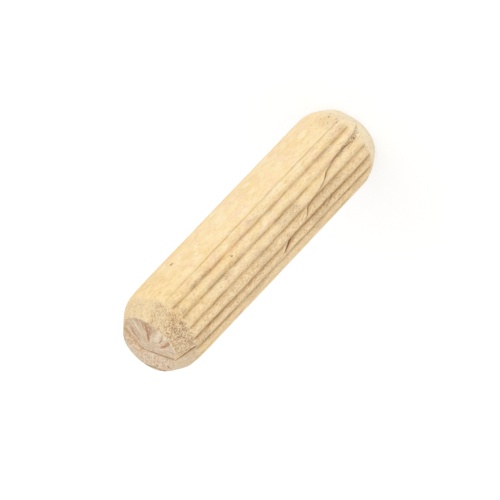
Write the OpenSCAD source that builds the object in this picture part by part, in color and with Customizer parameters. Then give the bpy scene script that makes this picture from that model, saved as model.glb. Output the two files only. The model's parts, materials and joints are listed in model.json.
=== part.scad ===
// Fluted wooden dowel pin, standing on one of its sawn ends.
// The pin's axis is +Z, its origin is the centre of the lower end face, and +X
// points to the middle of the smooth band that the fluting cutters left uncut.

/* [Pin] */
// Diameter over the flute crests
pin_d = 8; // [6:0.5:16]
// Overall length
pin_len = 30; // [16:1:80]

/* [Lead-in tapers] */
// Length of the conical taper at each end
taper_len = 1.7; // [0.5:0.1:5]
// How far the taper takes the radius in, from the crests to the sawn face
taper_in = 0.87; // [0.4:0.01:1.6]

/* [Flutes] */
// Flute pitches in one full turn
flute_pitches = 21; // [16:1:24]
// Pitches that the smooth band takes up
band_pitches = 6; // [2:1:10]
// Width of a full flute at the crests
flute_w = 0.7; // [0.4:0.02:0.76]
// Depth of a full flute below the crests
flute_depth = 0.24; // [0.1:0.01:0.3]
// Depth of the faint flute that grazes each edge of the smooth band
faint_depth = 0.03; // [0.02:0.01:0.1]
// Angle by which the faint flutes stand nearer to their neighbours than a pitch
faint_lean = 3; // [0:0.1:4]

/* [Hidden] */
$fn = 96;

pin_r = pin_d / 2;
face_r = pin_r - taper_in;
wood_colour = [0.95, 0.85, 0.66];

// The cutter's round nose passes through both edges of a full flute and its floor.
pitch_angle = 360 / flute_pitches;
last_flute = flute_pitches - band_pitches;
flute_floor_r = pin_r - flute_depth;
flute_sagitta = sqrt(pow(pin_r, 2) - pow(flute_w / 2, 2)) - flute_floor_r;
nose_r = (pow(flute_w / 2, 2) + pow(flute_sagitta, 2)) / (2 * flute_sagitta);
cutter_overrun = 1;

// Half section of the plain turned pin, with its lower end on the ground
module pin_section() {
    polygon([
        [0, 0],
        [face_r, 0],
        [pin_r, taper_len],
        [pin_r, pin_len - taper_len],
        [face_r, pin_len],
        [0, pin_len]
    ]);
}

// The path of one fluting cutter, on the +X side and sunk to the given depth
module flute_cut(depth) {
    translate([pin_r - depth + nose_r, 0, -cutter_overrun])
        cylinder(r = nose_r, h = pin_len + 2 * cutter_overrun);
}

// All flutes, from one edge of the smooth band round to the other
module flutes() {
    for (i = [0 : last_flute]) {
        lean = i == 0 ? faint_lean : i == last_flute ? -faint_lean : 0;
        is_faint = i == 0 || i == last_flute;
        rotate([0, 0, (band_pitches / 2 + i) * pitch_angle + lean])
            flute_cut(is_faint ? faint_depth : flute_depth);
    }
}

module dowel_pin() {
    color(wood_colour)
        difference() {
            rotate_extrude() pin_section();
            flutes();
        }
}

dowel_pin();
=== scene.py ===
"""A fluted wooden dowel pin that stands on its lower sawn end, seen from above its upper end."""
import itertools
import json
import math
from collections import namedtuple

import bpy
import numpy as np
from mathutils import Matrix, Vector


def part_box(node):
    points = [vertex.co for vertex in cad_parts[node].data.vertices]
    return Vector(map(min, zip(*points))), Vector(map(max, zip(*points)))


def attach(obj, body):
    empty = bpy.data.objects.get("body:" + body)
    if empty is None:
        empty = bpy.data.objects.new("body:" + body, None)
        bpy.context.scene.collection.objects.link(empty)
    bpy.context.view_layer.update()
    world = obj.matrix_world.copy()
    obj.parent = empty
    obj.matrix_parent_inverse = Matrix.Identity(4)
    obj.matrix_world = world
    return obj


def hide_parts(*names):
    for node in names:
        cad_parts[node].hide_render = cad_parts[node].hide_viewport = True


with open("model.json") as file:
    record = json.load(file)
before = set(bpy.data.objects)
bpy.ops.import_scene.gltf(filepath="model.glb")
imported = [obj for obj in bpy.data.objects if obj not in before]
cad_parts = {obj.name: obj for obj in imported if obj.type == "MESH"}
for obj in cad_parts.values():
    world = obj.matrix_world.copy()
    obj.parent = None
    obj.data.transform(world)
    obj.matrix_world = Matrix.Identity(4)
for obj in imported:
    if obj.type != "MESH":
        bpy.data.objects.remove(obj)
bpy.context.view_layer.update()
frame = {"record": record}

# Lengths are in millimetres and angles in degrees, and MM turns them into Blender's metres.
MM = 0.001

# Places on the side are a turn from FACING towards ACROSS and a distance below the upper face.
Patch = namedtuple("Patch", "turn half_turn start end strength")
Speck = namedtuple("Speck", "turn below half_width half_length tone")
Facet = namedtuple("Facet", "turn half_turn depth")
Rim = namedtuple("Rim", "turn half_turn tone")

# Marks on a sawn face: rays are measured from the middle of the fan, late bands from the first ring.
Streak = namedtuple("Streak", "angle half_angle start end tone bend", defaults=[0.0])
Pore = namedtuple("Pore", "across facing half_size tone")
LateBand = namedtuple("LateBand", "outside half_width tone")

# A grain is noise of a size along x, y and z, and its detail counts only in the colours.
# A ramp runs smoothly from 0 at low to most at high. A span runs evenly from first to last.
# A mottle is a grain seen through a ramp.
Grain = namedtuple("Grain", "size seed detail", defaults=[2.0])
Ramp = namedtuple("Ramp", "low high most", defaults=[1.0])
Span = namedtuple("Span", "first last low high", defaults=[0.0, 1.0])
Mottle = namedtuple("Mottle", "size seed ramp detail", defaults=[2.0])

# Where each point of the mesh is on the pin, and how far it belongs to a sawn face or to the side
Site = namedtuple("Site", "angle turn height below sawn side upper outward")

# The turned pin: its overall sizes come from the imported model.
low_corner, high_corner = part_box("dowel_pin")
shank = next(m for m in frame["record"]["mounts"] if m["name"] == "shank")
PIN_R = shank["dims"]["r_mm"]
PIN_LEN = (high_corner.z - low_corner.z) / MM
TAPER_LEN = (PIN_LEN - shank["dims"]["length_mm"]) / 2
TAPER_IN = 0.87
TAPER_SWELL = 0.04
FACE_R = PIN_R - TAPER_IN
RIM_ROUND = 0.08
SHOULDER_ROUND = 0.18

# The flutes, counted from one edge of the smooth band, whose middle faces +X.
FLUTE_PITCHES = 21
BAND_PITCHES = 6
LAST_FLUTE = FLUTE_PITCHES - BAND_PITCHES
PITCH = 360 / FLUTE_PITCHES
HALF_PITCH = PIN_R * math.radians(PITCH) / 2
FLUTE_DEPTH = 0.24
FLOOR_ROUND = 0.018
REED_POWER = 2.0
FAINT_HALF_W = 0.13
FAINT_DEPTH = 0.045
FAINT_POWER = 1.0
FAINT_LEAN = 3.0
FLUTED_FROM = (BAND_PITCHES * PITCH / 2, (BAND_PITCHES / 2 + 0.5) * PITCH)

# Each flute wanders by about a degree and changes in depth, in its own lane of the noise.
FLUTE_LANE = 7.3
FLUTE_WANDER = [(0.8, Grain((1, 1, 6), 11)), (0.5, Grain((1, 1, 1.4), 12))]
FLUTE_CHANGE = [(0.14, Grain((1, 1, 4), 13)), (0.1, Grain((1, 1, 0.9), 14))]

# The photograph's view: the pin's upper end comes towards the camera and to the lower left.
FACING_AZIMUTH = -76.8
VIEW_TILT = 34.5
VIEW_ROLL = 46.42
VIEW_DISTANCE = 628.0
PICTURE_PX = 500
MM_PER_PX = 0.0870
PIN_MIDDLE_PX = (248.74, 238.21)
SENSOR_WIDTH = 36
CLIP_METRES = (0.01, 10)

# The white table, and the room with its brighter side
TABLE_METRES = 4
TABLE_PAPER = (0.86, 0.86, 0.86, 1)
TABLE_SHADE = (0.38, 0.38, 0.38, 1)
TABLE_GLOW = 0.62
WHITE = (1, 1, 1, 1)
KEY_TURN = -32
KEY_RISE = 0.05
ROOM_LIGHT = Span(0.83, 1.50, -0.5, 1.0)

# The mesh: columns round the pin and rows along each stretch of its outline.
COLUMNS_PER_PITCH = 18
COLUMNS = FLUTE_PITCHES * COLUMNS_PER_PITCH
FACE_ROWS = 24
RIM_ROWS = 3
TAPER_ROWS = 22
SHANK_ROWS = 148
ROUNDING = 1e-6

# Factors that scatter the noise's whole-number cells
HASH_AXES = [374761393, 668265263, 2246822519]
HASH_SEED = 3266489917
HASH_MIX = [(15, 2654435761), (13, 1274126177)]
SEED_STEP = (17.3, 9.1, 0)
NOISE_MIDDLE = 0.5


def unit(angle):
    """The horizontal direction at an angle from +X."""
    return np.array([math.cos(math.radians(angle)), math.sin(math.radians(angle)), 0.0])


# The wood's own axes: ACROSS is the picture's lower right, FACING points to the camera's side.
FACING = unit(FACING_AZIMUTH)
ACROSS = unit(FACING_AZIMUTH - 90)
UPWARD = np.array([0.0, 0.0, 1.0])

# One growth ring shows as a dark line: a bent sheet with a round nose that slants through the pin.
RING_NOSE_ACROSS = -1.0
RING_NOSE_ROUND = 0.75
RING_LEAN = 0.86
RING_RIGHT_RUN = 1.2
RING_LEFT_LEAN = -0.166
RING_LEFT_RISE = 0.50
RING_LEFT_FALL = 0.5
RING_LEFT_ROUND = 0.15
RING_SPACING = 2.3
RING_COUNT = 3
RING_FLATTENS = 0.6
RING_WAVE = 0.05
RING_WAVES = Grain((0.7, 0.7, 1.6), 31)

# The ring's slant: distances below the upper face, and how far towards FACING its nose lies there.
# At the back, past these places along FACING, the slant is even.
RING_SLANT = np.array([
    (0, -1.8), (1.4, -0.75), (10.7, -0.8), (12, -0.85), (13.2, -0.62), (14.7, -0.4),
    (15.7, 0.05), (16.6, 0.41), (18.2, 0.54), (19.3, 1.6), (20.3, 1.72), (21.1, 2.0),
    (22.3, 2.39), (23.1, 2.8), (25, 3.05), (28.6, 3.35), (30, 2.9),
])
RING_EVEN_FROM = (0.5, -1.5)

# Where the first ring shows dark or has split open, where the others do, and where fibres are torn.
FIRST_SPLITS = [
    Patch(45, 40, -0.2, 1.7, 1.3),
    Patch(50, 25, 1.6, 14.6, 0.3),
    Patch(24, 34, 14.0, 29.4, 0.7),
    Patch(45, 10, 14.7, 17.0, 1.6),
    Patch(31, 10, 18.3, 20.6, 0.95),
    Patch(16, 12, 21.2, 23.4, 0.9),
    Patch(6, 10, 23.4, 25.6, 0.85),
    Patch(180, 70, -0.2, 30.2, 0.3),
]
OTHER_SPLITS = [
    Patch(45, 9, 21.0, 23.6, 0.65),
    Patch(180, 70, -0.2, 30.2, 0.3),
]
SPLIT_FADE = 0.5
TORN = [
    Patch(24, 52, -0.1, 1.6, 1.0),
    Patch(-24, 20, -0.2, 1.6, 0.65),
    Patch(-70, 50, -0.2, 1.5, 0.4),
    Patch(-9.8, 2.8, 4.4, 7.4, 0.65),
    Patch(-9, 2.5, 7.6, 9.2, 0.3),
    Patch(6.5, 4, 5.6, 9.6, 0.5),
    Patch(3, 4, 1.4, 2.6, 0.6),
    Patch(8, 3, 9.4, 13.5, 0.35),
    Patch(14, 8, 15.6, 18.6, 0.5),
    Patch(7, 3, 25.8, 28.9, 0.2),
    Patch(-34, 14, 26.6, 29.2, 0.30),
    Patch(52, 8, 1.4, 3.6, 0.5),
    Patch(-5, 12, 1.5, 2.4, 0.5),
    Patch(30, 5, 20.0, 24.0, 0.4),
    Patch(140, 25, 27.8, 29.9, 0.8),
    Patch(-150, 3, 8.0, 13.0, 0.4),
    Patch(172, 3, 17.0, 22.0, 0.35),
    Patch(-110, 18, 28.4, 29.9, 0.5),
    Patch(-160, 30, 28.3, 30.1, 0.55),
    Patch(86, 22, 28.5, 30.1, 0.5),
]
SPLINTERS = [Patch(7.5, 3.6, 25.2, 28.7, 1.0)]
TORN_FADE = 0.25
STAINS = [
    Patch(-8, 3.5, 6.8, 11.2, 0.75),
    Patch(5, 3.5, 7.8, 9.4, 0.6),
    Patch(0, 12, 0.8, 1.9, 0.5),
    Patch(175, 4, 11.0, 15.0, 0.5),
]
STAIN_FADE = 0.5
SPECKS = [
    Speck(-56.8, 5.95, 0.12, 0.22, 1.0),
    Speck(-48.8, 11.8, 0.06, 0.32, 0.5),
    Speck(-0.7, 9.7, 0.09, 0.14, 1.0),
    Speck(-36.2, 28.1, 0.10, 0.13, 1.0),
    Speck(-26.0, 28.2, 0.07, 0.12, 0.80),
    Speck(-43.0, 27.5, 0.09, 0.15, 0.60),
    Speck(-31.0, 27.3, 0.08, 0.12, 0.60),
    Speck(-40.0, 28.6, 0.08, 0.13, 0.75),
    Speck(-22.0, 27.9, 0.06, 0.15, 0.80),
    Speck(-47.0, 26.4, 0.09, 0.16, 0.50),
    Speck(-38.0, 26.2, 0.08, 0.14, 0.50),
    Speck(-36.0, 2.3, 0.07, 0.12, 0.5),
    Speck(9.3, 9.6, 0.06, 0.30, 0.75),
    Speck(-132.0, 15.0, 0.08, 0.30, 1.0),
    Speck(155.0, 9.0, 0.07, 0.25, 1.0),
    Speck(-168.0, 21.0, 0.08, 0.20, 1.0),
]

# A few fibres are torn here and there between the flutes.
LOOSE_TORN = 0.4
LOOSE_CLUMPS = Grain((0.6, 0.6, 2.0), 25)
LOOSE_FROM = (0.1, 0.8)

# The side grows browner away from the light over the first two turns, and paler again over the others:
# partly browner wood and partly painted shade.
BROWN_FROM = (5, 40)
BROWN_UNTIL = (90, 50)

# Rays on the sawn faces fan out from this point: negative tones are brown and positive ones pale.
FAN_ACROSS = 0.20
FAN_FACING = -0.65
STREAKS = [
    Streak(-34.0, 4.2, 0.7, 3.0, -1.0, -3.5),
    Streak(-25.5, 5.0, 1.3, 2.8, -0.6),
    Streak(-29.0, 4.5, 0.5, 1.4, -0.8),
    Streak(-82.0, 5.0, 2.3, 3.4, -0.45),
    Streak(-91.0, 3.5, 0.7, 2.4, -0.85, 12.0),
    Streak(-104.0, 4.5, 0.7, 2.2, -0.5),
    Streak(-77.0, 2.5, 1.0, 2.4, -0.4),
    Streak(-98.0, 3.0, 1.0, 2.6, 0.6, 8.0),
    Streak(-68.0, 3.0, 1.2, 2.9, -0.5, 4.0),
    Streak(-62.0, 4.0, 1.4, 3.0, 0.5),
    Streak(-47.0, 4.0, 1.4, 3.0, 0.4),
    Streak(0.0, 8.0, 1.0, 3.4, 0.75),
    Streak(11.0, 4.0, 2.2, 3.4, 0.7),
    Streak(10.0, 2.2, 1.2, 2.9, -1.1, -7.5),
    Streak(27.5, 4.5, 1.2, 2.9, -0.9, -7.9),
    Streak(36.0, 5.0, 2.0, 3.5, 0.3),
]
STREAK_FADE_IN = 0.4
STREAK_BEFORE_END = 0.3
STREAK_PAST_END = 0.2
PORES = [
    Pore(1.22, -1.29, 0.10, 0.6),
    Pore(1.45, -1.20, 0.07, 0.6),
    Pore(1.78, -1.77, 0.14, 0.8),
    Pore(2.57, -0.77, 0.14, 1.0),
    Pore(2.75, -0.20, 0.10, 0.6),
    Pore(0.35, -1.95, 0.08, 0.6),
    Pore(-0.60, -2.30, 0.09, 0.6),
]

# On the upper face the fan lies inside the first ring, whose line is darker on its right branch.
# Orange late wood follows the left branch. The lower face has a weaker fan and line all over.
FAN_EDGE = (-0.05, 0.25)
LOWER_FAN = 0.5
FACE_LINE = 0.3
FACE_LINE_RIGHT = 0.55
LOWER_FACE_LINE = 0.35
LATE_BANDS = [LateBand(0.06, 0.30, 1.0), LateBand(0.75, 0.2, 0.6)]
LATE_ACROSS = (0.5, -0.6)

# Outside the ring the upper taper looks like the sawn face, on the picture's lower right.
OUTER_EDGE = (0.02, -0.15)
OUTER_FROM = (20, 50)
OUTER_FADE = 0.3

# The rim of the upper face is crushed pale on one side, and darker on the other: partly burnished wood and
# partly painted shade.
RIM_TONES = [Rim(34, 34, 0.85), Rim(-98, 24, -0.4), Rim(-165, 50, -0.5), Rim(125, 30, -0.45)]

# The tapers are uneven: these stretches of them are cut deeper, most of all at the sawn face.
UPPER_FACETS = [Facet(-5, 65, 0.90), Facet(-116, 24, 0.28), Facet(72, 20, 0.15)]
LOWER_FACETS = [Facet(-65, 40, 0.12), Facet(-22, 20, 0.2), Facet(120, 40, 0.25)]
UNEVEN_LEN = 1.85

# The upper shoulder is worn rounder beside the smooth band.
SOFT_SHOULDERS = [Facet(-92, 36, 0.16)]
SOFT_UNTIL = 8.0

# Relief: fibres along the side, and crumbs where it is torn or sawn. Two layers of either add up
# to RELIEF_REACH at most, so relief only goes inwards. The rest is how deep each mark goes.
FIBRES = [(1.0, Grain((0.16, 0.16, 3.0), 21)), (0.6, Grain((0.09, 0.09, 1.2), 22))]
CRUMBS = [(1.0, Grain((0.13, 0.13, 0.16), 23)), (0.6, Grain((0.08, 0.08, 0.1), 24))]
RELIEF_REACH = 1.6
LIFTED = Grain((0.14, 0.14, 0.6), 26)
FIBRE_RELIEF = 0.005
TORN_RELIEF = 0.022
SPLIT_RELIEF = 0.09
SPLIT_HALF_W = 0.05
SPECK_RELIEF = 0.05
SPLINTER_RELIEF = 0.08
SAW_RELIEF = 0.008
RAY_RELIEF = 0.02
FACE_SPLIT_RELIEF = 0.05


def smoothstep(low, high, x):
    """From 0 at low to 1 at high, with a smooth run between."""
    t = np.clip((x - low) / (high - low), 0, 1)
    return t * t * (3 - 2 * t)


def bump(x, half_width):
    """A soft hill that is 1 at 0 and about a third at its half width."""
    return np.exp(-((x / half_width) ** 2))


def soft_min(a, b, softness):
    """The smaller of two values, with a rounded corner where they are equal."""
    return (a + b - np.sqrt((a - b) ** 2 + softness**2)) / 2


def wrapped(angle):
    """The same angle between -180 and 180."""
    return (angle + 180) % 360 - 180


def hashed(cells, seed):
    """One repeatable number from -1 to 1 for each whole-number cell."""
    with np.errstate(over="ignore"):
        n = cells.astype(np.uint64) @ np.array(HASH_AXES, dtype=np.uint64)
        n = n + np.uint64(seed * HASH_SEED)
        for shift, factor in HASH_MIX:
            n = (n ^ (n >> np.uint64(shift))) * np.uint64(factor)
    return ((n >> np.uint64(8)) & np.uint64(0xFFFF)).astype(float) / 0x7FFF - 1


def noise(points, grain):
    """Smooth noise from -1 to 1 at points (N, 3)."""
    p = points / np.asarray(grain.size, dtype=float)
    cell = np.floor(p).astype(np.int64)
    t = p - cell
    t = t * t * (3 - 2 * t)
    total = np.zeros(len(p))
    for corner in itertools.product((0, 1), repeat=3):
        weight = np.prod(np.where(corner, t, 1 - t), axis=1)
        total += weight * hashed(cell + np.array(corner), grain.seed)
    return total


def layered(points, layers):
    """The sum of weighted layers of noise."""
    return sum(weight * noise(points, grain) for weight, grain in layers)


def patches(places, site, fade):
    """How strongly the listed patches cover each point, with ends that fade over a short length."""
    total = np.zeros(len(site.turn))
    for p in places:
        begun = smoothstep(p.start - fade, p.start + fade, site.below)
        ended = smoothstep(p.end + fade, p.end - fade, site.below)
        cover = p.strength * begun * ended * bump(wrapped(site.turn - p.turn), p.half_turn)
        total = np.maximum(total, cover)
    return total


def specks(site):
    """How dark the specks on the side make each point."""
    total = np.zeros(len(site.turn))
    for s in SPECKS:
        sideways = PIN_R * np.radians(wrapped(site.turn - s.turn))
        spot = s.tone * bump(sideways, s.half_width) * bump(site.below - s.below, s.half_length)
        total = np.maximum(total, spot)
    return total


def pores(points):
    """How dark the pores of a sawn face make each point."""
    total = np.zeros(len(points))
    for p in PORES:
        away = np.hypot(points @ ACROSS - p.across, points @ FACING - p.facing)
        total = np.maximum(total, p.tone * bump(away, p.half_size))
    return total


def facets(places, turn):
    """How deep the listed stretches are cut at each turn."""
    return sum(f.depth * bump(wrapped(turn - f.turn), f.half_turn) for f in places)


def rim_tone(turn):
    """How pale or dark the rim is at each turn."""
    return sum(r.tone * bump(wrapped(turn - r.turn), r.half_turn) for r in RIM_TONES)


def ring_distances(points):
    """About how far the first growth ring and the nearest one are, and whether they are the same."""
    slant_below, slant_facing = RING_SLANT.T
    across = points @ ACROSS - RING_NOSE_ACROSS
    facing = points @ FACING
    below = PIN_LEN - points[:, 2]
    bends = np.interp(below, slant_below, slant_facing)
    even = np.interp(below, [0, PIN_LEN], [slant_facing[0], slant_facing[-1]])
    behind = smoothstep(*RING_EVEN_FROM, facing)
    nose = bends + (even - bends) * behind
    drifts = np.gradient(slant_facing, slant_below)
    drift = np.interp(below, slant_below, drifts) * (1 - behind)
    reach = np.sqrt(across**2 + RING_NOSE_ROUND**2)
    right = RING_LEAN * (reach - RING_NOSE_ROUND)
    left = RING_LEFT_RISE + RING_LEFT_LEAN * across - RING_LEFT_FALL * below
    lean = np.where(right > left, RING_LEAN * across / reach, RING_LEFT_LEAN)
    height = facing - nose + soft_min(-right, -left, RING_LEFT_ROUND)
    height = height + RING_WAVE * noise(points, RING_WAVES)
    slope = np.sqrt(1 + lean**2 + drift**2)
    rings = np.stack([(height + RING_SPACING * i) / slope for i in range(RING_COUNT)])
    which = np.abs(rings).argmin(axis=0)
    return rings[0], np.take_along_axis(rings, which[None], axis=0)[0], which == 0


def streak_tone(points):
    """The tone of the rays on a sawn face."""
    across = points @ ACROSS - FAN_ACROSS
    facing = points @ FACING - FAN_FACING
    angle = np.degrees(np.arctan2(across, facing))
    away = np.hypot(across, facing)
    tone = np.zeros(len(points))
    for s in STREAKS:
        begun = smoothstep(s.start, s.start + STREAK_FADE_IN, away)
        ended = smoothstep(s.end + STREAK_PAST_END, s.end - STREAK_BEFORE_END, away)
        bent = s.angle + s.bend * (away - (s.start + s.end) / 2)
        tone += s.tone * begun * ended * bump(wrapped(angle - bent), s.half_angle)
    return np.clip(tone, -1, 1)


def flute_angle(i):
    """The angle of flute i from +X: the two faint ones lean towards their neighbours."""
    lean = {0: FAINT_LEAN, LAST_FLUTE: -FAINT_LEAN}.get(i, 0)
    return (BAND_PITCHES / 2 + i) * PITCH + lean


def flute_cut(offset, half_width, depth, power):
    """Depth of a flute at a sideways offset from its floor, where the reeds beside it are round."""
    rounded = np.sqrt(offset**2 + FLOOR_ROUND**2) - FLOOR_ROUND
    return depth * np.clip(1 - rounded / half_width, 0, 1) ** power


def flute_depths(angle, height):
    """How deep the full flutes and the faint ones cut, before the tapers take them away."""
    full = np.zeros(len(angle))
    grazed = np.zeros(len(angle))
    for i in range(LAST_FLUTE + 1):
        track = np.column_stack([np.full(len(angle), i * FLUTE_LANE), np.zeros(len(angle)), height])
        wander = layered(track, FLUTE_WANDER)
        change = 1 + layered(track, FLUTE_CHANGE)
        offset = PIN_R * np.radians(wrapped(angle - flute_angle(i) - wander))
        if i in (0, LAST_FLUTE):
            cut = flute_cut(offset, FAINT_HALF_W, FAINT_DEPTH * change, FAINT_POWER)
            grazed = np.maximum(grazed, cut)
        else:
            cut = flute_cut(offset, HALF_PITCH, FLUTE_DEPTH * change, REED_POWER)
            full = np.maximum(full, cut)
    return full, grazed


def plain_profile():
    """The outline from the lower face's middle to the upper's, as radius, height and sawn-face share.

    The tapers' cones run on past the shoulders, where the shank is the smaller of the two.
    """
    taper_t = (np.arange(TAPER_ROWS) + 0.5) / TAPER_ROWS
    taper_r = FACE_R + TAPER_IN * taper_t + TAPER_SWELL * 4 * taper_t * (1 - taper_t)
    face_r = (FACE_R - RIM_ROUND) * (np.arange(FACE_ROWS) + 1) / FACE_ROWS
    rim_t = (np.arange(RIM_ROWS) + 1) / (RIM_ROWS + 1)
    rim_r = FACE_R - RIM_ROUND * (1 - np.sin(rim_t * math.pi / 2))
    rim_z = RIM_ROUND * (1 - np.cos(rim_t * math.pi / 2)) / 2
    radius = np.concatenate([face_r, rim_r, taper_r])
    height = np.concatenate([np.zeros(FACE_ROWS), rim_z, TAPER_LEN * taper_t])
    sawn = np.concatenate([np.ones(FACE_ROWS), 1 - rim_t, np.zeros(TAPER_ROWS)])
    shank_z = TAPER_LEN + (PIN_LEN - 2 * TAPER_LEN) * (np.arange(SHANK_ROWS) + 0.5) / SHANK_ROWS
    cone_r = FACE_R + TAPER_IN * np.minimum(shank_z, PIN_LEN - shank_z) / TAPER_LEN
    return (
        np.concatenate([radius, cone_r, radius[::-1]]),
        np.concatenate([height, shank_z, PIN_LEN - height[::-1]]),
        np.concatenate([sawn, np.zeros(SHANK_ROWS), sawn[::-1]]),
    )


def surface_grid():
    """The number of rows, the plain radius at each point of the mesh, and the points' sites."""
    row_r, row_z, row_sawn = plain_profile()
    rows = len(row_r)
    angle = np.append(np.tile(np.arange(COLUMNS) * 360 / COLUMNS, rows), [0, 0])
    radius = np.append(np.repeat(row_r, COLUMNS), [0, 0])
    height = np.append(np.repeat(row_z, COLUMNS), [0, PIN_LEN])
    sawn = np.append(np.repeat(row_sawn, COLUMNS), [1, 1])
    below = PIN_LEN - height
    round_pin = np.radians(angle)
    site = Site(
        angle=angle,
        turn=wrapped(FACING_AZIMUTH - angle),
        height=height,
        below=below,
        sawn=sawn,
        side=1 - sawn,
        upper=below < height,
        outward=np.column_stack([np.cos(round_pin), np.sin(round_pin), np.zeros(len(angle))]),
    )
    return rows, radius, site


def sweep_faces(rows):
    """Quads of a closed sweep of rows by COLUMNS, with a fan to a middle point at each end."""
    here = np.arange(COLUMNS)
    after = (here + 1) % COLUMNS
    faces = []
    for row in range(rows - 1):
        a, b = row * COLUMNS, (row + 1) * COLUMNS
        faces += np.column_stack([a + here, a + after, b + after, b + here]).tolist()
    bottom, top = rows * COLUMNS, rows * COLUMNS + 1
    last = (rows - 1) * COLUMNS
    faces += np.column_stack([after, here, np.full(COLUMNS, bottom)]).tolist()
    faces += np.column_stack([last + here, last + after, np.full(COLUMNS, top)]).tolist()
    return faces


def uneven_radius(radius, site):
    """The plain radius less the deeper cuts of the tapers."""
    cuts = np.where(site.upper, facets(UPPER_FACETS, site.turn), facets(LOWER_FACETS, site.turn))
    cuts = cuts * np.clip(1 - np.minimum(site.below, site.height) / UNEVEN_LEN, 0, 1)
    return radius - cuts * np.minimum(radius / FACE_R, 1)


def worked_points(plain_r, cut, site):
    """Points of the tapered and fluted pin, with round shoulders."""
    softer = facets(SOFT_SHOULDERS, site.turn) * smoothstep(SOFT_UNTIL, TAPER_LEN, site.below)
    worked_r = soft_min(plain_r, PIN_R - cut, SHOULDER_ROUND + softer)
    worked_r = np.where(site.sawn > 0, plain_r, worked_r)
    return site.outward * worked_r[:, None] + site.height[:, None] * UPWARD


def flute_traits(plain_r, full, grazed, site):
    """How deep in a flute each point is, and how far it is from the smooth band."""
    taper_cut = np.clip(PIN_R - plain_r, 0, None)
    flute = np.clip((full - taper_cut) / FLUTE_DEPTH, 0, 1)
    graze = np.clip((grazed - taper_cut) / FAINT_DEPTH, 0, 1)
    return {
        "flute": np.maximum(flute, graze) * site.side,
        "fluted": smoothstep(*FLUTED_FROM, np.abs(wrapped(site.angle))),
    }


def ring_traits(points, cut, site):
    """The growth rings, how dark they show, and the wood on either side of the first one."""
    flattened = points + site.outward * (RING_FLATTENS * cut * site.side)[:, None]
    first_ring, ring, is_first = ring_distances(flattened)
    across = points @ ACROSS
    right_branch = smoothstep(RING_NOSE_ACROSS, RING_NOSE_ACROSS + RING_RIGHT_RUN, across)
    first_split = patches(FIRST_SPLITS, site, SPLIT_FADE)
    other_split = patches(OTHER_SPLITS, site, SPLIT_FADE)
    on_side = np.where(is_first, first_split, other_split)
    on_face = np.where(site.upper, FACE_LINE + FACE_LINE_RIGHT * right_branch, LOWER_FACE_LINE)
    fan = np.where(site.upper, smoothstep(*FAN_EDGE, first_ring), LOWER_FAN) * site.sawn
    late = np.max([b.tone * bump(first_ring + b.outside, b.half_width) for b in LATE_BANDS], axis=0)
    outer = smoothstep(*OUTER_EDGE, first_ring) * smoothstep(*OUTER_FROM, site.turn) * site.side
    on_taper = smoothstep(TAPER_LEN + OUTER_FADE, TAPER_LEN - OUTER_FADE, site.below)
    return {
        "ring": ring,
        "split": np.where(site.sawn > 0, on_face, on_side),
        "fan": fan,
        "tone": streak_tone(points) * fan,
        "late": late * smoothstep(*LATE_ACROSS, across) * site.sawn,
        "outer": outer * on_taper,
    }


def wear_traits(points, fluted, site):
    """Torn and lifted fibres, stains and specks, and the side away from the light, browner with partly
    painted shade.
    """
    loose = smoothstep(*LOOSE_FROM, noise(points, LOOSE_CLUMPS))
    torn = np.maximum(patches(TORN, site, TORN_FADE), LOOSE_TORN * fluted * loose)
    return {
        "torn": torn,
        "splinter": patches(SPLINTERS, site, TORN_FADE) * site.side,
        "stain": patches(STAINS, site, STAIN_FADE) * site.side,
        "speck": specks(site) * site.side + pores(points) * site.sawn * site.upper,
        "brown_and_shade": smoothstep(*BROWN_FROM, site.turn) * smoothstep(*BROWN_UNTIL, site.turn),
    }


def roughened(points, site, traits):
    """The points moved inwards by fibres, torn grain, splits, specks and saw marks."""
    fibres = layered(points, FIBRES) + RELIEF_REACH
    crumbs = layered(points, CRUMBS) + RELIEF_REACH
    opened = traits["split"] * bump(traits["ring"], SPLIT_HALF_W)
    lifted = traits["splinter"] * np.clip(noise(points, LIFTED), 0, 1)
    inward = FIBRE_RELIEF * fibres + TORN_RELIEF * traits["torn"] * crumbs + SPLIT_RELIEF * opened
    inward = inward + SPECK_RELIEF * traits["speck"] + SPLINTER_RELIEF * lifted
    saw_marks = SAW_RELIEF * crumbs + RAY_RELIEF * np.clip(-traits["tone"], 0, 1)
    saw_marks = saw_marks + FACE_SPLIT_RELIEF * opened
    downward = np.where(site.upper, 1, -1)
    points = points - site.outward * (site.side * inward)[:, None]
    return points - UPWARD * (site.sawn * saw_marks * downward)[:, None]


def dowel_surface():
    """Points of the worked pin and, for each, what the wood is like there."""
    rows, radius, site = surface_grid()
    rim = (site.sawn > 0) & (radius > FACE_R - RIM_ROUND - ROUNDING)
    plain_r = uneven_radius(radius, site)
    full, grazed = flute_depths(site.angle, site.height)
    cut = np.maximum(full, grazed)
    points = worked_points(plain_r, cut, site)
    traits = {"sawn": site.sawn, "rim": rim * rim_tone(site.turn)}
    traits.update(flute_traits(plain_r, full, grazed, site))
    traits.update(ring_traits(points, cut, site))
    traits.update(wear_traits(points, traits["fluted"], site))
    return rows, roughened(points, site, traits), traits


def make_dowel():
    rows, points, traits = dowel_surface()
    mesh = bpy.data.meshes.new("dowel_wood")
    mesh.from_pydata((points * MM).tolist(), [], sweep_faces(rows))
    for name, values in traits.items():
        layer = mesh.attributes.new(name, "FLOAT", "POINT")
        layer.data.foreach_set("value", values.astype(np.float32))
    mesh.polygons.foreach_set("use_smooth", [True] * len(mesh.polygons))
    mesh.update()
    dowel = bpy.data.objects.new("dowel_wood", mesh)
    bpy.context.collection.objects.link(dowel)
    return dowel


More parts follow.
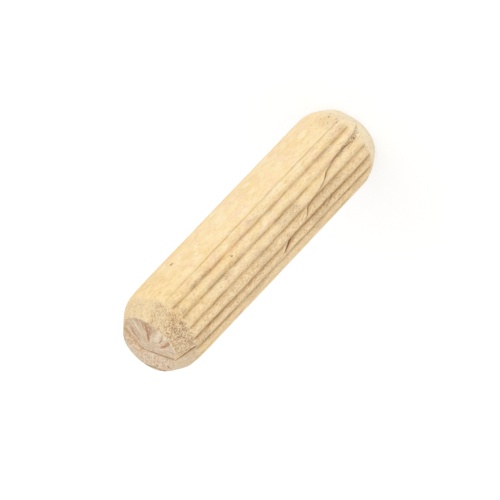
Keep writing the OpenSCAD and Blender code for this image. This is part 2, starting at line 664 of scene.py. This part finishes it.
class Nodes:
    """Adds shader nodes to an emptied tree. An input is a plain value or another node's output."""

    def __init__(self, tree):
        self.tree = tree
        tree.nodes.clear()

    def add(self, kind, inputs, output=0, **settings):
        node = self.tree.nodes.new("ShaderNode" + kind)
        for name, value in settings.items():
            setattr(node, name, value)
        for name, value in inputs.items():
            if isinstance(value, bpy.types.NodeSocket):
                self.tree.links.new(value, node.inputs[name])
            else:
                node.inputs[name].default_value = value
        return node.outputs[output] if node.outputs else None

    def math(self, operation, *values):
        return self.add("Math", dict(enumerate(values)), operation=operation)

    def times(self, first, second):
        return self.math("MULTIPLY", first, second)

    def vector(self, operation, *values, output=0):
        return self.add("VectorMath", dict(enumerate(values)), output, operation=operation)

    def share(self, value, ramp):
        inputs = {"Value": value, "From Min": ramp.low, "From Max": ramp.high, "To Max": ramp.most}
        return self.add("MapRange", inputs, interpolation_type="SMOOTHSTEP")

    def span(self, value, span):
        inputs = {"Value": value, "From Min": span.low, "From Max": span.high}
        inputs.update({"To Min": span.first, "To Max": span.last})
        return self.add("MapRange", inputs)

    def mix(self, factor, first, second, blend="MIX"):
        inputs = {0: factor, 6: first, 7: second}
        return self.add("Mix", inputs, 2, data_type="RGBA", blend_type=blend)

    def noise(self, place, grain):
        """Noise from 0 to 1."""
        start = [step * grain.seed for step in SEED_STEP]
        scale = [1 / s for s in grain.size]
        moved = self.add("Mapping", {"Vector": place, "Location": start, "Scale": scale})
        return self.add("TexNoise", {"Vector": moved, "Scale": 1.0, "Detail": grain.detail}, "Fac")

    def mottle(self, place, mottle):
        return self.share(self.noise(place, mottle), mottle.ramp)

    def trait(self, name):
        return self.add("Attribute", {}, "Fac", attribute_name=name)


# The wood's colours
STRAW = (0.870, 0.692, 0.412, 1)
STRAW_WARM = (0.845, 0.645, 0.340, 1)
STRAW_PALE = (0.880, 0.735, 0.490, 1)
# A browner straw for the side away from the light: partly browner wood and partly painted shade
STRAW_BROWN_AND_SHADE = (0.850, 0.648, 0.392, 1)
BLUSH = (0.865, 0.645, 0.430, 1)
FIBRE_SHADE = (0.89, 0.84, 0.76, 1)
MOTTLE_SHADE = (0.93, 0.89, 0.82, 1)
FLECK_BROWN = (0.50, 0.31, 0.14, 1)
# Painted shade for the flutes' hollows, their floors and the side away from the light
FLUTE_PAINTED_SHADE = (0.70, 0.63, 0.54, 1)
FLOOR_PAINTED_SHADE = (0.83, 0.78, 0.69, 1)
SHADY_SIDE_PAINTED_SHADE = (0.80, 0.74, 0.67, 1)
TAPER_TAN = (0.755, 0.61, 0.39, 1)
TORN_TAN = (0.56, 0.405, 0.245, 1)
TORN_DARK = (0.35, 0.205, 0.10, 1)
TORN_CREAM = (0.84, 0.67, 0.44, 1)
# Painted shade for the gaps among lifted fibres
SPLINTER_GAP_SHADE = (0.22, 0.12, 0.055, 1)
STAIN_SHADE = (0.98, 0.82, 0.60, 1)
COARSE_SHADE = (0.73, 0.65, 0.54, 1)
RING_BROWN = (0.28, 0.145, 0.055, 1)
LATE_WOOD = (0.52, 0.31, 0.165, 1)
LATE_ORANGE = (0.55, 0.335, 0.18, 1)
SPECK_BROWN = (0.32, 0.15, 0.06, 1)
END_PINK = (0.67, 0.47, 0.32, 1)
END_GREY = (0.63, 0.52, 0.385, 1)
END_PALE = (0.79, 0.68, 0.50, 1)
END_RED = (0.40, 0.205, 0.10, 1)
END_TAN = (0.54, 0.41, 0.27, 1)
RIM_BROWN = (0.36, 0.27, 0.19, 1)
# Paler lower taper: partly worn wood and partly painted light
WORN_AND_LIT_PALE = (0.91, 0.825, 0.64, 1)

# The side: broad clouds of colour, blotches that are strongest near the upper end, and fine grain
WARM_CLOUDS = Mottle((1.1, 1.1, 2.6), 1, Ramp(0.40, 0.64))
PALE_CLOUDS = Mottle((0.7, 0.7, 1.6), 2, Ramp(0.48, 0.68))
BLUSH_CLOUDS = Mottle((0.9, 0.9, 1.5), 3, Ramp(0.50, 0.68, 0.9))
WARM_END = Ramp(9.0, 2.0, 0.7)
BLOTCHES = Mottle((0.4, 0.4, 0.8), 23, Ramp(0.44, 0.64))
BLOTCHY_END = Span(0.4, 1.0, 10.0, 2.0)
COARSE = Grain((0.08, 0.08, 0.28), 22, 3.0)
COARSE_DARK = Ramp(0.50, 0.66)
COARSE_PALE = Ramp(0.48, 0.33, 0.75)
FLUTED_GRAIN = Span(0.4, 1.0)
FIBRE_LINES = Mottle((0.14, 0.14, 0.9), 4, Ramp(0.42, 0.74, 0.85), 3.0)
GRAINS = Grain((0.14, 0.14, 0.23), 14)
GRAINS_DARK = Ramp(0.52, 0.74)
GRAINS_PALE = Ramp(0.46, 0.28, 0.6)
FLECKS = Mottle((0.12, 0.12, 0.5), 5, Ramp(0.68, 0.80, 0.55), 1.0)

# Torn wood and splinters
TORN_CLUMPS = Grain((0.32, 0.32, 0.38), 20)
TORN_CLUMPING = 0.35
TORN_GRAINS = Grain((0.10, 0.10, 0.13), 6, 3.0)
TORN_PITS = Ramp(0.52, 0.38)
TORN_PIT_POWER = 1.2
TORN_TUFTS = Ramp(0.52, 0.64, 0.85)
TORN_GROUND = 0.9
TORN_GROUND_POWER = 1.4
LIFTED_FIBRES = Grain((0.15, 0.15, 0.55), 17, 1.0)
SPLINTER_GAPS = Ramp(0.075, 0.02)

# The sawn faces: rays that change slowly along their length, late wood, saw grain and pores
PINK_CLOUDS = Mottle((0.7, 0.7, 0.7), 8, Ramp(0.42, 0.66))
FAN_TAN = 0.4
RAY_DRIFT = 0.12
RAYS = Grain((0.10, 0.10, 0.25), 7, 3.0)
RAYS_PALE = Ramp(0.54, 0.72, 0.6)
RAYS_RED = Ramp(0.48, 0.30, 0.65)
FINE_RAYS = Grain((0.05, 0.05, 0.18), 25)
FINE_RAYS_PALE = Ramp(0.52, 0.70, 0.6)
FINE_RAYS_RED = Ramp(0.48, 0.30, 0.5)
STREAK_PALE = Ramp(0.1, 0.9, 0.9)
STREAK_RED = Ramp(-0.1, -0.8, 0.95)
LATE_RAYS = Ramp(0.90, 0.45)
SAW_GRAIN = Grain((0.17, 0.17, 0.17), 15, 3.0)
SAW_DARK = Ramp(0.48, 0.32, 0.80)
SAW_PALE = Ramp(0.52, 0.66, 0.80)
SAW_IN_FAN = Span(1.0, 0.5)
FACE_PORES = Mottle((0.16, 0.16, 0.16), 9, Ramp(0.64, 0.76, 0.8), 1.0)
RAGGED_EDGE = Grain((0.3, 0.3, 0.3), 11)
SAWN_EDGE = Ramp(0.4, 0.6)
RIM_PALE = Ramp(0.15, 0.8, 0.8)
RIM_DARK = Ramp(-0.15, -0.8, 0.7)

# The ring's line: wider where it has split, broken into dashes elsewhere, pale within and brown without
RING_WIDTH = 0.6
RING_WIDENS = 0.6
RING_DASHES = Mottle((0.3, 0.3, 0.8), 10, Ramp(0.32, 0.58))
DASH_DARKENS = 0.6
GAP_DARKNESS = 0.45
SOLID_LINE = Ramp(0.75, 0.95)
LINE_EDGE = Ramp(0.07, 0.02)
EARLY_START = Ramp(0.0, 0.06)
EARLY_END = Ramp(0.34, 0.10, 0.25)
EARLY_BELOW = Ramp(3.0, 6.0)
LATE_START = Ramp(0.03, -0.02)
LATE_END = Ramp(-0.24, -0.04, 0.5)

# The tapers, by their distance from the upper and the lower face
NEAR_TAPER = Ramp(2.4, 0.9)
NEAR_WEAR = Mottle((0.32, 0.32, 0.32), 21, Ramp(0.34, 0.66))
OUTER_PALE = 0.35
OUTER_SAWN = 0.55
# The lower taper's pale patches: partly wear and partly painted light
FAR_TAPER = Ramp(2.5, 0.6)
FAR_PALE_PATCHES = Grain((0.22, 0.22, 0.3), 24)
FAR_PALE_RANGE = Span(0.4, 1.0, 0.3, 0.7)

# The flutes: patchy painted shade, deeper on the side away from the light and lighter among splinters, and
# dark floors of painted shade
FLUTE_POWER = 2.0
FLUTE_CLOUDS = Grain((1.2, 1.2, 3.0), 18)
FLUTE_PATCHY = Span(0.8, 1.0, 0.3, 0.7)
FLUTE_BY_SIDE = Span(0.76, 1.1)
FLUTE_OPENED = Span(1.0, 0.4)
SHADY_SIDE = Ramp(0.6, 0.95)
FLOOR_DASHES = Mottle((0.8, 0.8, 1.8), 16, Ramp(0.30, 0.62))
FLUTE_FLOOR = Ramp(0.74, 0.97)
STAIN_CLOUDS = Mottle((0.25, 0.25, 0.9), 19, Ramp(0.32, 0.56))

# Specks, and the dull surface with its finest relief
SPECK_SHARE = Ramp(0.15, 0.7, 0.85)
FINE_FIBRES = Grain((0.06, 0.06, 1.0), 12, 3.0)
FINE_GRAINS = Grain((0.07, 0.07, 0.07), 13, 3.0)
FINE_STRENGTH = 0.25
FINE_HEIGHT = 0.03
ROUGHNESS = Span(0.62, 0.86)
SPECULAR = 0.3


def side_grain(nodes, place, below):
    """Straw coloured wood with soft mottling, fine fibres and short brown flecks."""
    brown_and_shade = nodes.trait("brown_and_shade")
    rough = nodes.span(nodes.trait("fluted"), FLUTED_GRAIN)
    colour = nodes.mix(nodes.mottle(place, WARM_CLOUDS), STRAW, STRAW_WARM)
    colour = nodes.mix(nodes.mottle(place, PALE_CLOUDS), colour, STRAW_PALE)
    colour = nodes.mix(nodes.mottle(place, BLUSH_CLOUDS), colour, BLUSH)
    colour = nodes.mix(nodes.share(below, WARM_END), colour, STRAW_WARM)
    blotches = nodes.times(nodes.mottle(place, BLOTCHES), nodes.span(below, BLOTCHY_END))
    colour = nodes.mix(blotches, colour, MOTTLE_SHADE, "MULTIPLY")
    # Browner away from the light: partly browner wood and partly painted shade
    colour = nodes.mix(brown_and_shade, colour, STRAW_BROWN_AND_SHADE)
    coarse = nodes.noise(place, COARSE)
    dark_coarse = nodes.times(nodes.share(coarse, COARSE_DARK), brown_and_shade)
    pale_coarse = nodes.times(nodes.share(coarse, COARSE_PALE), brown_and_shade)
    colour = nodes.mix(dark_coarse, colour, COARSE_SHADE, "MULTIPLY")
    colour = nodes.mix(pale_coarse, colour, STRAW_PALE)
    fibres = nodes.times(nodes.mottle(place, FIBRE_LINES), rough)
    colour = nodes.mix(fibres, colour, FIBRE_SHADE, "MULTIPLY")
    grains = nodes.noise(place, GRAINS)
    dark_grains = nodes.times(nodes.share(grains, GRAINS_DARK), rough)
    pale_grains = nodes.times(nodes.share(grains, GRAINS_PALE), rough)
    colour = nodes.mix(dark_grains, colour, FIBRE_SHADE, "MULTIPLY")
    colour = nodes.mix(pale_grains, colour, STRAW_PALE)
    return nodes.mix(nodes.mottle(place, FLECKS), colour, FLECK_BROWN)


def near_taper(nodes, place, below, sawn_wood, colour):
    """The upper taper: worn tan in places, and like the sawn face outside the ring."""
    worn = nodes.times(nodes.share(below, NEAR_TAPER), nodes.mottle(place, NEAR_WEAR))
    outer = nodes.trait("outer")
    colour = nodes.mix(worn, colour, TAPER_TAN)
    colour = nodes.mix(nodes.times(outer, OUTER_PALE), colour, END_PALE)
    return nodes.mix(nodes.times(outer, OUTER_SAWN), colour, sawn_wood)


def torn_grain(nodes, place, colour):
    """Torn and crushed fibres: a tan ground with small dark pits and cream tufts."""
    torn = nodes.trait("torn")
    clumps = nodes.math("SUBTRACT", nodes.noise(place, TORN_CLUMPS), NOISE_MIDDLE)
    grains = nodes.noise(place, TORN_GRAINS)
    grains = nodes.math("ADD", grains, nodes.times(clumps, TORN_CLUMPING))
    ground = nodes.times(nodes.math("POWER", torn, TORN_GROUND_POWER), TORN_GROUND)
    pits = nodes.times(nodes.math("POWER", torn, TORN_PIT_POWER), nodes.share(grains, TORN_PITS))
    tufts = nodes.times(torn, nodes.share(grains, TORN_TUFTS))
    colour = nodes.mix(ground, colour, TORN_TAN)
    colour = nodes.mix(pits, colour, TORN_DARK)
    return nodes.mix(tufts, colour, TORN_CREAM)


def far_taper(nodes, place, height, colour):
    """The lower taper, paler in patches: partly worn wood and partly painted light."""
    pale_patches = nodes.span(nodes.noise(place, FAR_PALE_PATCHES), FAR_PALE_RANGE)
    return nodes.mix(nodes.times(nodes.share(height, FAR_TAPER), pale_patches), colour, WORN_AND_LIT_PALE)


def flute_shading(nodes, place, colour):
    """Painted shade in the flutes, deeper on the side away from the light, with broken lines of painted
    shade along their floors, and stains in a few places.
    """
    flute = nodes.trait("flute")
    shady_side = nodes.trait("brown_and_shade")
    patchy = nodes.span(nodes.noise(place, FLUTE_CLOUDS), FLUTE_PATCHY)
    shade = nodes.times(nodes.math("POWER", flute, FLUTE_POWER), patchy)
    shade = nodes.times(shade, nodes.span(shady_side, FLUTE_BY_SIDE))
    shade = nodes.times(shade, nodes.span(nodes.trait("splinter"), FLUTE_OPENED))
    shady = nodes.times(flute, nodes.share(shady_side, SHADY_SIDE))
    floors = nodes.times(nodes.mottle(place, FLOOR_DASHES), nodes.share(flute, FLUTE_FLOOR))
    stains = nodes.times(nodes.trait("stain"), nodes.mottle(place, STAIN_CLOUDS))
    colour = nodes.mix(shade, colour, FLUTE_PAINTED_SHADE, "MULTIPLY")
    colour = nodes.mix(shady, colour, SHADY_SIDE_PAINTED_SHADE, "MULTIPLY")
    colour = nodes.mix(floors, colour, FLOOR_PAINTED_SHADE, "MULTIPLY")
    return nodes.mix(stains, colour, STAIN_SHADE, "MULTIPLY")


def splinters(nodes, place, colour):
    """Painted shade in the gaps between fibres that were lifted along a flute."""
    lifted = nodes.math("SUBTRACT", nodes.noise(place, LIFTED_FIBRES), NOISE_MIDDLE)
    gaps = nodes.share(nodes.math("ABSOLUTE", lifted), SPLINTER_GAPS)
    return nodes.mix(nodes.times(nodes.trait("splinter"), gaps), colour, SPLINTER_GAP_SHADE)


def end_grain(nodes, place):
    """A sawn face: greyish pink wood with small pores, and rays that fan out on one side of the ring."""
    centre = FACING * FAN_FACING + ACROSS * FAN_ACROSS
    flat = nodes.vector("MULTIPLY", nodes.vector("SUBTRACT", place, tuple(centre)), (1, 1, 0))
    away = nodes.vector("LENGTH", flat, output="Value")
    along = nodes.add("CombineXYZ", {"Z": nodes.times(away, RAY_DRIFT)})
    polar = nodes.vector("ADD", nodes.vector("NORMALIZE", flat), along)
    rays = nodes.noise(polar, RAYS)
    fine_rays = nodes.noise(polar, FINE_RAYS)
    fan = nodes.trait("fan")
    tone = nodes.trait("tone")
    colour = nodes.mix(nodes.mottle(place, PINK_CLOUDS), END_GREY, END_PINK)
    colour = nodes.mix(nodes.times(fan, FAN_TAN), colour, END_TAN)
    colour = nodes.mix(nodes.times(fan, nodes.share(rays, RAYS_PALE)), colour, END_PALE)
    colour = nodes.mix(nodes.times(fan, nodes.share(rays, RAYS_RED)), colour, END_RED)
    colour = nodes.mix(nodes.times(fan, nodes.share(fine_rays, FINE_RAYS_PALE)), colour, END_PALE)
    colour = nodes.mix(nodes.times(fan, nodes.share(fine_rays, FINE_RAYS_RED)), colour, END_RED)
    colour = nodes.mix(nodes.share(tone, STREAK_PALE), colour, END_PALE)
    colour = nodes.mix(nodes.share(tone, STREAK_RED), colour, END_RED)
    late = nodes.times(nodes.trait("late"), nodes.share(rays, LATE_RAYS))
    colour = nodes.mix(late, colour, LATE_ORANGE)
    saw = nodes.noise(place, SAW_GRAIN)
    calmer = nodes.span(fan, SAW_IN_FAN)
    colour = nodes.mix(nodes.times(nodes.share(saw, SAW_DARK), calmer), colour, LATE_WOOD)
    colour = nodes.mix(nodes.times(nodes.share(saw, SAW_PALE), calmer), colour, END_PALE)
    return nodes.mix(nodes.mottle(place, FACE_PORES), colour, TORN_DARK)


def sawn_share(nodes, place):
    """1 on the sawn faces and 0 on the side, with a ragged edge between."""
    ragged = nodes.math("SUBTRACT", nodes.noise(place, RAGGED_EDGE), NOISE_MIDDLE)
    return nodes.share(nodes.math("ADD", nodes.trait("sawn"), ragged), SAWN_EDGE)


def rim_colour(nodes, colour):
    """The upper face's rim: crushed pale in places, and elsewhere darker, partly with painted shade."""
    rim = nodes.trait("rim")
    colour = nodes.mix(nodes.share(rim, RIM_PALE), colour, END_PALE)
    return nodes.mix(nodes.share(rim, RIM_DARK), colour, RIM_BROWN)


def ring_line(nodes, place, below, colour):
    """The growth ring: a thin brown line, darkest where it has split, with pale wood on its inner side."""
    split = nodes.trait("split")
    width = nodes.math("ADD", nodes.times(split, RING_WIDENS), RING_WIDTH)
    inwards = nodes.math("DIVIDE", nodes.trait("ring"), width)
    dashes = nodes.times(nodes.mottle(place, RING_DASHES), DASH_DARKENS)
    darkness = nodes.math("ADD", dashes, GAP_DARKNESS)
    darkness = nodes.math("MAXIMUM", darkness, nodes.share(split, SOLID_LINE))
    strength = nodes.times(split, darkness)
    early = nodes.times(nodes.share(inwards, EARLY_START), nodes.share(inwards, EARLY_END))
    early = nodes.times(early, nodes.share(below, EARLY_BELOW))
    late = nodes.times(nodes.share(inwards, LATE_START), nodes.share(inwards, LATE_END))
    line = nodes.share(nodes.math("ABSOLUTE", inwards), LINE_EDGE)
    colour = nodes.mix(nodes.times(early, strength), colour, STRAW_PALE)
    colour = nodes.mix(nodes.times(late, strength), colour, LATE_WOOD)
    return nodes.mix(nodes.times(line, strength), colour, RING_BROWN)


def make_wood():
    material = bpy.data.materials.new("pale_straw_wood")
    material.use_nodes = True
    nodes = Nodes(material.node_tree)
    place = nodes.vector("MULTIPLY", nodes.add("TexCoord", {}, "Object"), (1 / MM, 1 / MM, 1 / MM))
    height = nodes.add("SeparateXYZ", {"Vector": place}, "Z")
    below = nodes.math("SUBTRACT", PIN_LEN, height)
    sawn = sawn_share(nodes, place)
    sawn_wood = end_grain(nodes, place)
    colour = side_grain(nodes, place, below)
    colour = near_taper(nodes, place, below, sawn_wood, colour)
    colour = torn_grain(nodes, place, colour)
    colour = far_taper(nodes, place, height, colour)
    colour = flute_shading(nodes, place, colour)
    colour = splinters(nodes, place, colour)
    colour = nodes.mix(sawn, colour, sawn_wood)
    colour = rim_colour(nodes, colour)
    colour = ring_line(nodes, place, below, colour)
    colour = nodes.mix(nodes.share(nodes.trait("speck"), SPECK_SHARE), colour, SPECK_BROWN)
    fibres = nodes.noise(place, FINE_FIBRES)
    grains = nodes.noise(place, FINE_GRAINS)
    relief = nodes.mix(nodes.math("MAXIMUM", nodes.trait("torn"), sawn), fibres, grains)
    fine_relief = {"Height": relief, "Strength": FINE_STRENGTH, "Distance": FINE_HEIGHT * MM}
    shader = nodes.add("BsdfPrincipled", {
        "Base Color": colour,
        "Roughness": nodes.span(fibres, ROUGHNESS),
        "Normal": nodes.add("Bump", fine_relief),
        "Specular IOR Level": SPECULAR,
    })
    nodes.add("OutputMaterial", {"Surface": shader})
    return material


def seen_directly(nodes):
    """1 for rays that show a surface to the camera, straight or by reflection, and 0 for its light."""
    paths = nodes.add("LightPath", {})
    rays = paths.node.outputs
    seen = nodes.math("MAXIMUM", rays["Is Camera Ray"], rays["Is Glossy Ray"])
    return nodes.math("MAXIMUM", seen, rays["Is Transmission Ray"])


def make_floor():
    """A white table that keeps the pin's soft shadow and looks white to the camera."""
    bpy.ops.mesh.primitive_plane_add(size=TABLE_METRES)
    floor = bpy.context.object
    floor.name = "floor"
    material = bpy.data.materials.new("white_table")
    material.use_nodes = True
    nodes = Nodes(material.node_tree)
    paper = nodes.add("BsdfDiffuse", {"Color": TABLE_PAPER})
    shade = nodes.add("BsdfDiffuse", {"Color": TABLE_SHADE})
    glow = nodes.add("Emission", {"Strength": TABLE_GLOW})
    white = nodes.add("AddShader", {0: shade, 1: glow})
    surface = nodes.add("MixShader", {0: seen_directly(nodes), 1: paper, 2: white})
    nodes.add("OutputMaterial", {"Surface": surface})
    floor.data.materials.append(material)


def view_axes():
    """The picture's right, up and back directions, with the pin's axis towards the lower left."""
    tilt, roll = math.radians(VIEW_TILT), math.radians(VIEW_ROLL)
    back = Vector(FACING * math.cos(tilt) + UPWARD * math.sin(tilt))
    along = (Vector(UPWARD) - math.sin(tilt) * back) / math.cos(tilt)
    sideways = back.cross(along)
    right = -math.cos(roll) * along + math.sin(roll) * sideways
    up = -math.sin(roll) * along - math.cos(roll) * sideways
    return right, up, back


def make_camera():
    right, up, back = view_axes()
    middle = (PICTURE_PX - 1) / 2
    aim = Vector((0, 0, PIN_LEN / 2))
    aim += right * (middle - PIN_MIDDLE_PX[0]) * MM_PER_PX
    aim -= up * (middle - PIN_MIDDLE_PX[1]) * MM_PER_PX
    data = bpy.data.cameras.new("camera")
    data.sensor_width = SENSOR_WIDTH
    data.lens = SENSOR_WIDTH * VIEW_DISTANCE / (PICTURE_PX * MM_PER_PX)
    data.clip_start, data.clip_end = CLIP_METRES
    camera = bpy.data.objects.new("camera", data)
    bpy.context.collection.objects.link(camera)
    turn = Matrix((right, up, back)).transposed().to_4x4()
    camera.matrix_world = Matrix.Translation((aim + back * VIEW_DISTANCE) * MM) @ turn
    bpy.context.scene.camera = camera


def make_light():
    """A white room that is brighter on the picture's upper left."""
    key = unit(FACING_AZIMUTH - KEY_TURN) + KEY_RISE * UPWARD
    key /= np.linalg.norm(key)
    world = bpy.data.worlds.new("studio")
    bpy.context.scene.world = world
    world.use_nodes = True
    nodes = Nodes(world.node_tree)
    outlook = nodes.add("TexCoord", {}, "Generated")
    towards = nodes.vector("DOT_PRODUCT", outlook, key, output="Value")
    room = nodes.add("Background", {"Color": WHITE, "Strength": nodes.span(towards, ROOM_LIGHT)})
    white = nodes.add("Background", {"Color": WHITE})
    surface = nodes.add("MixShader", {0: seen_directly(nodes), 1: room, 2: white})
    nodes.add("OutputWorld", {"Surface": surface})


dowel = make_dowel()
dowel.data.materials.append(make_wood())
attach(dowel, "root")
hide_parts("dowel_pin")
make_floor()
make_light()
make_camera()
bpy.context.scene.view_settings.view_transform = "Standard"
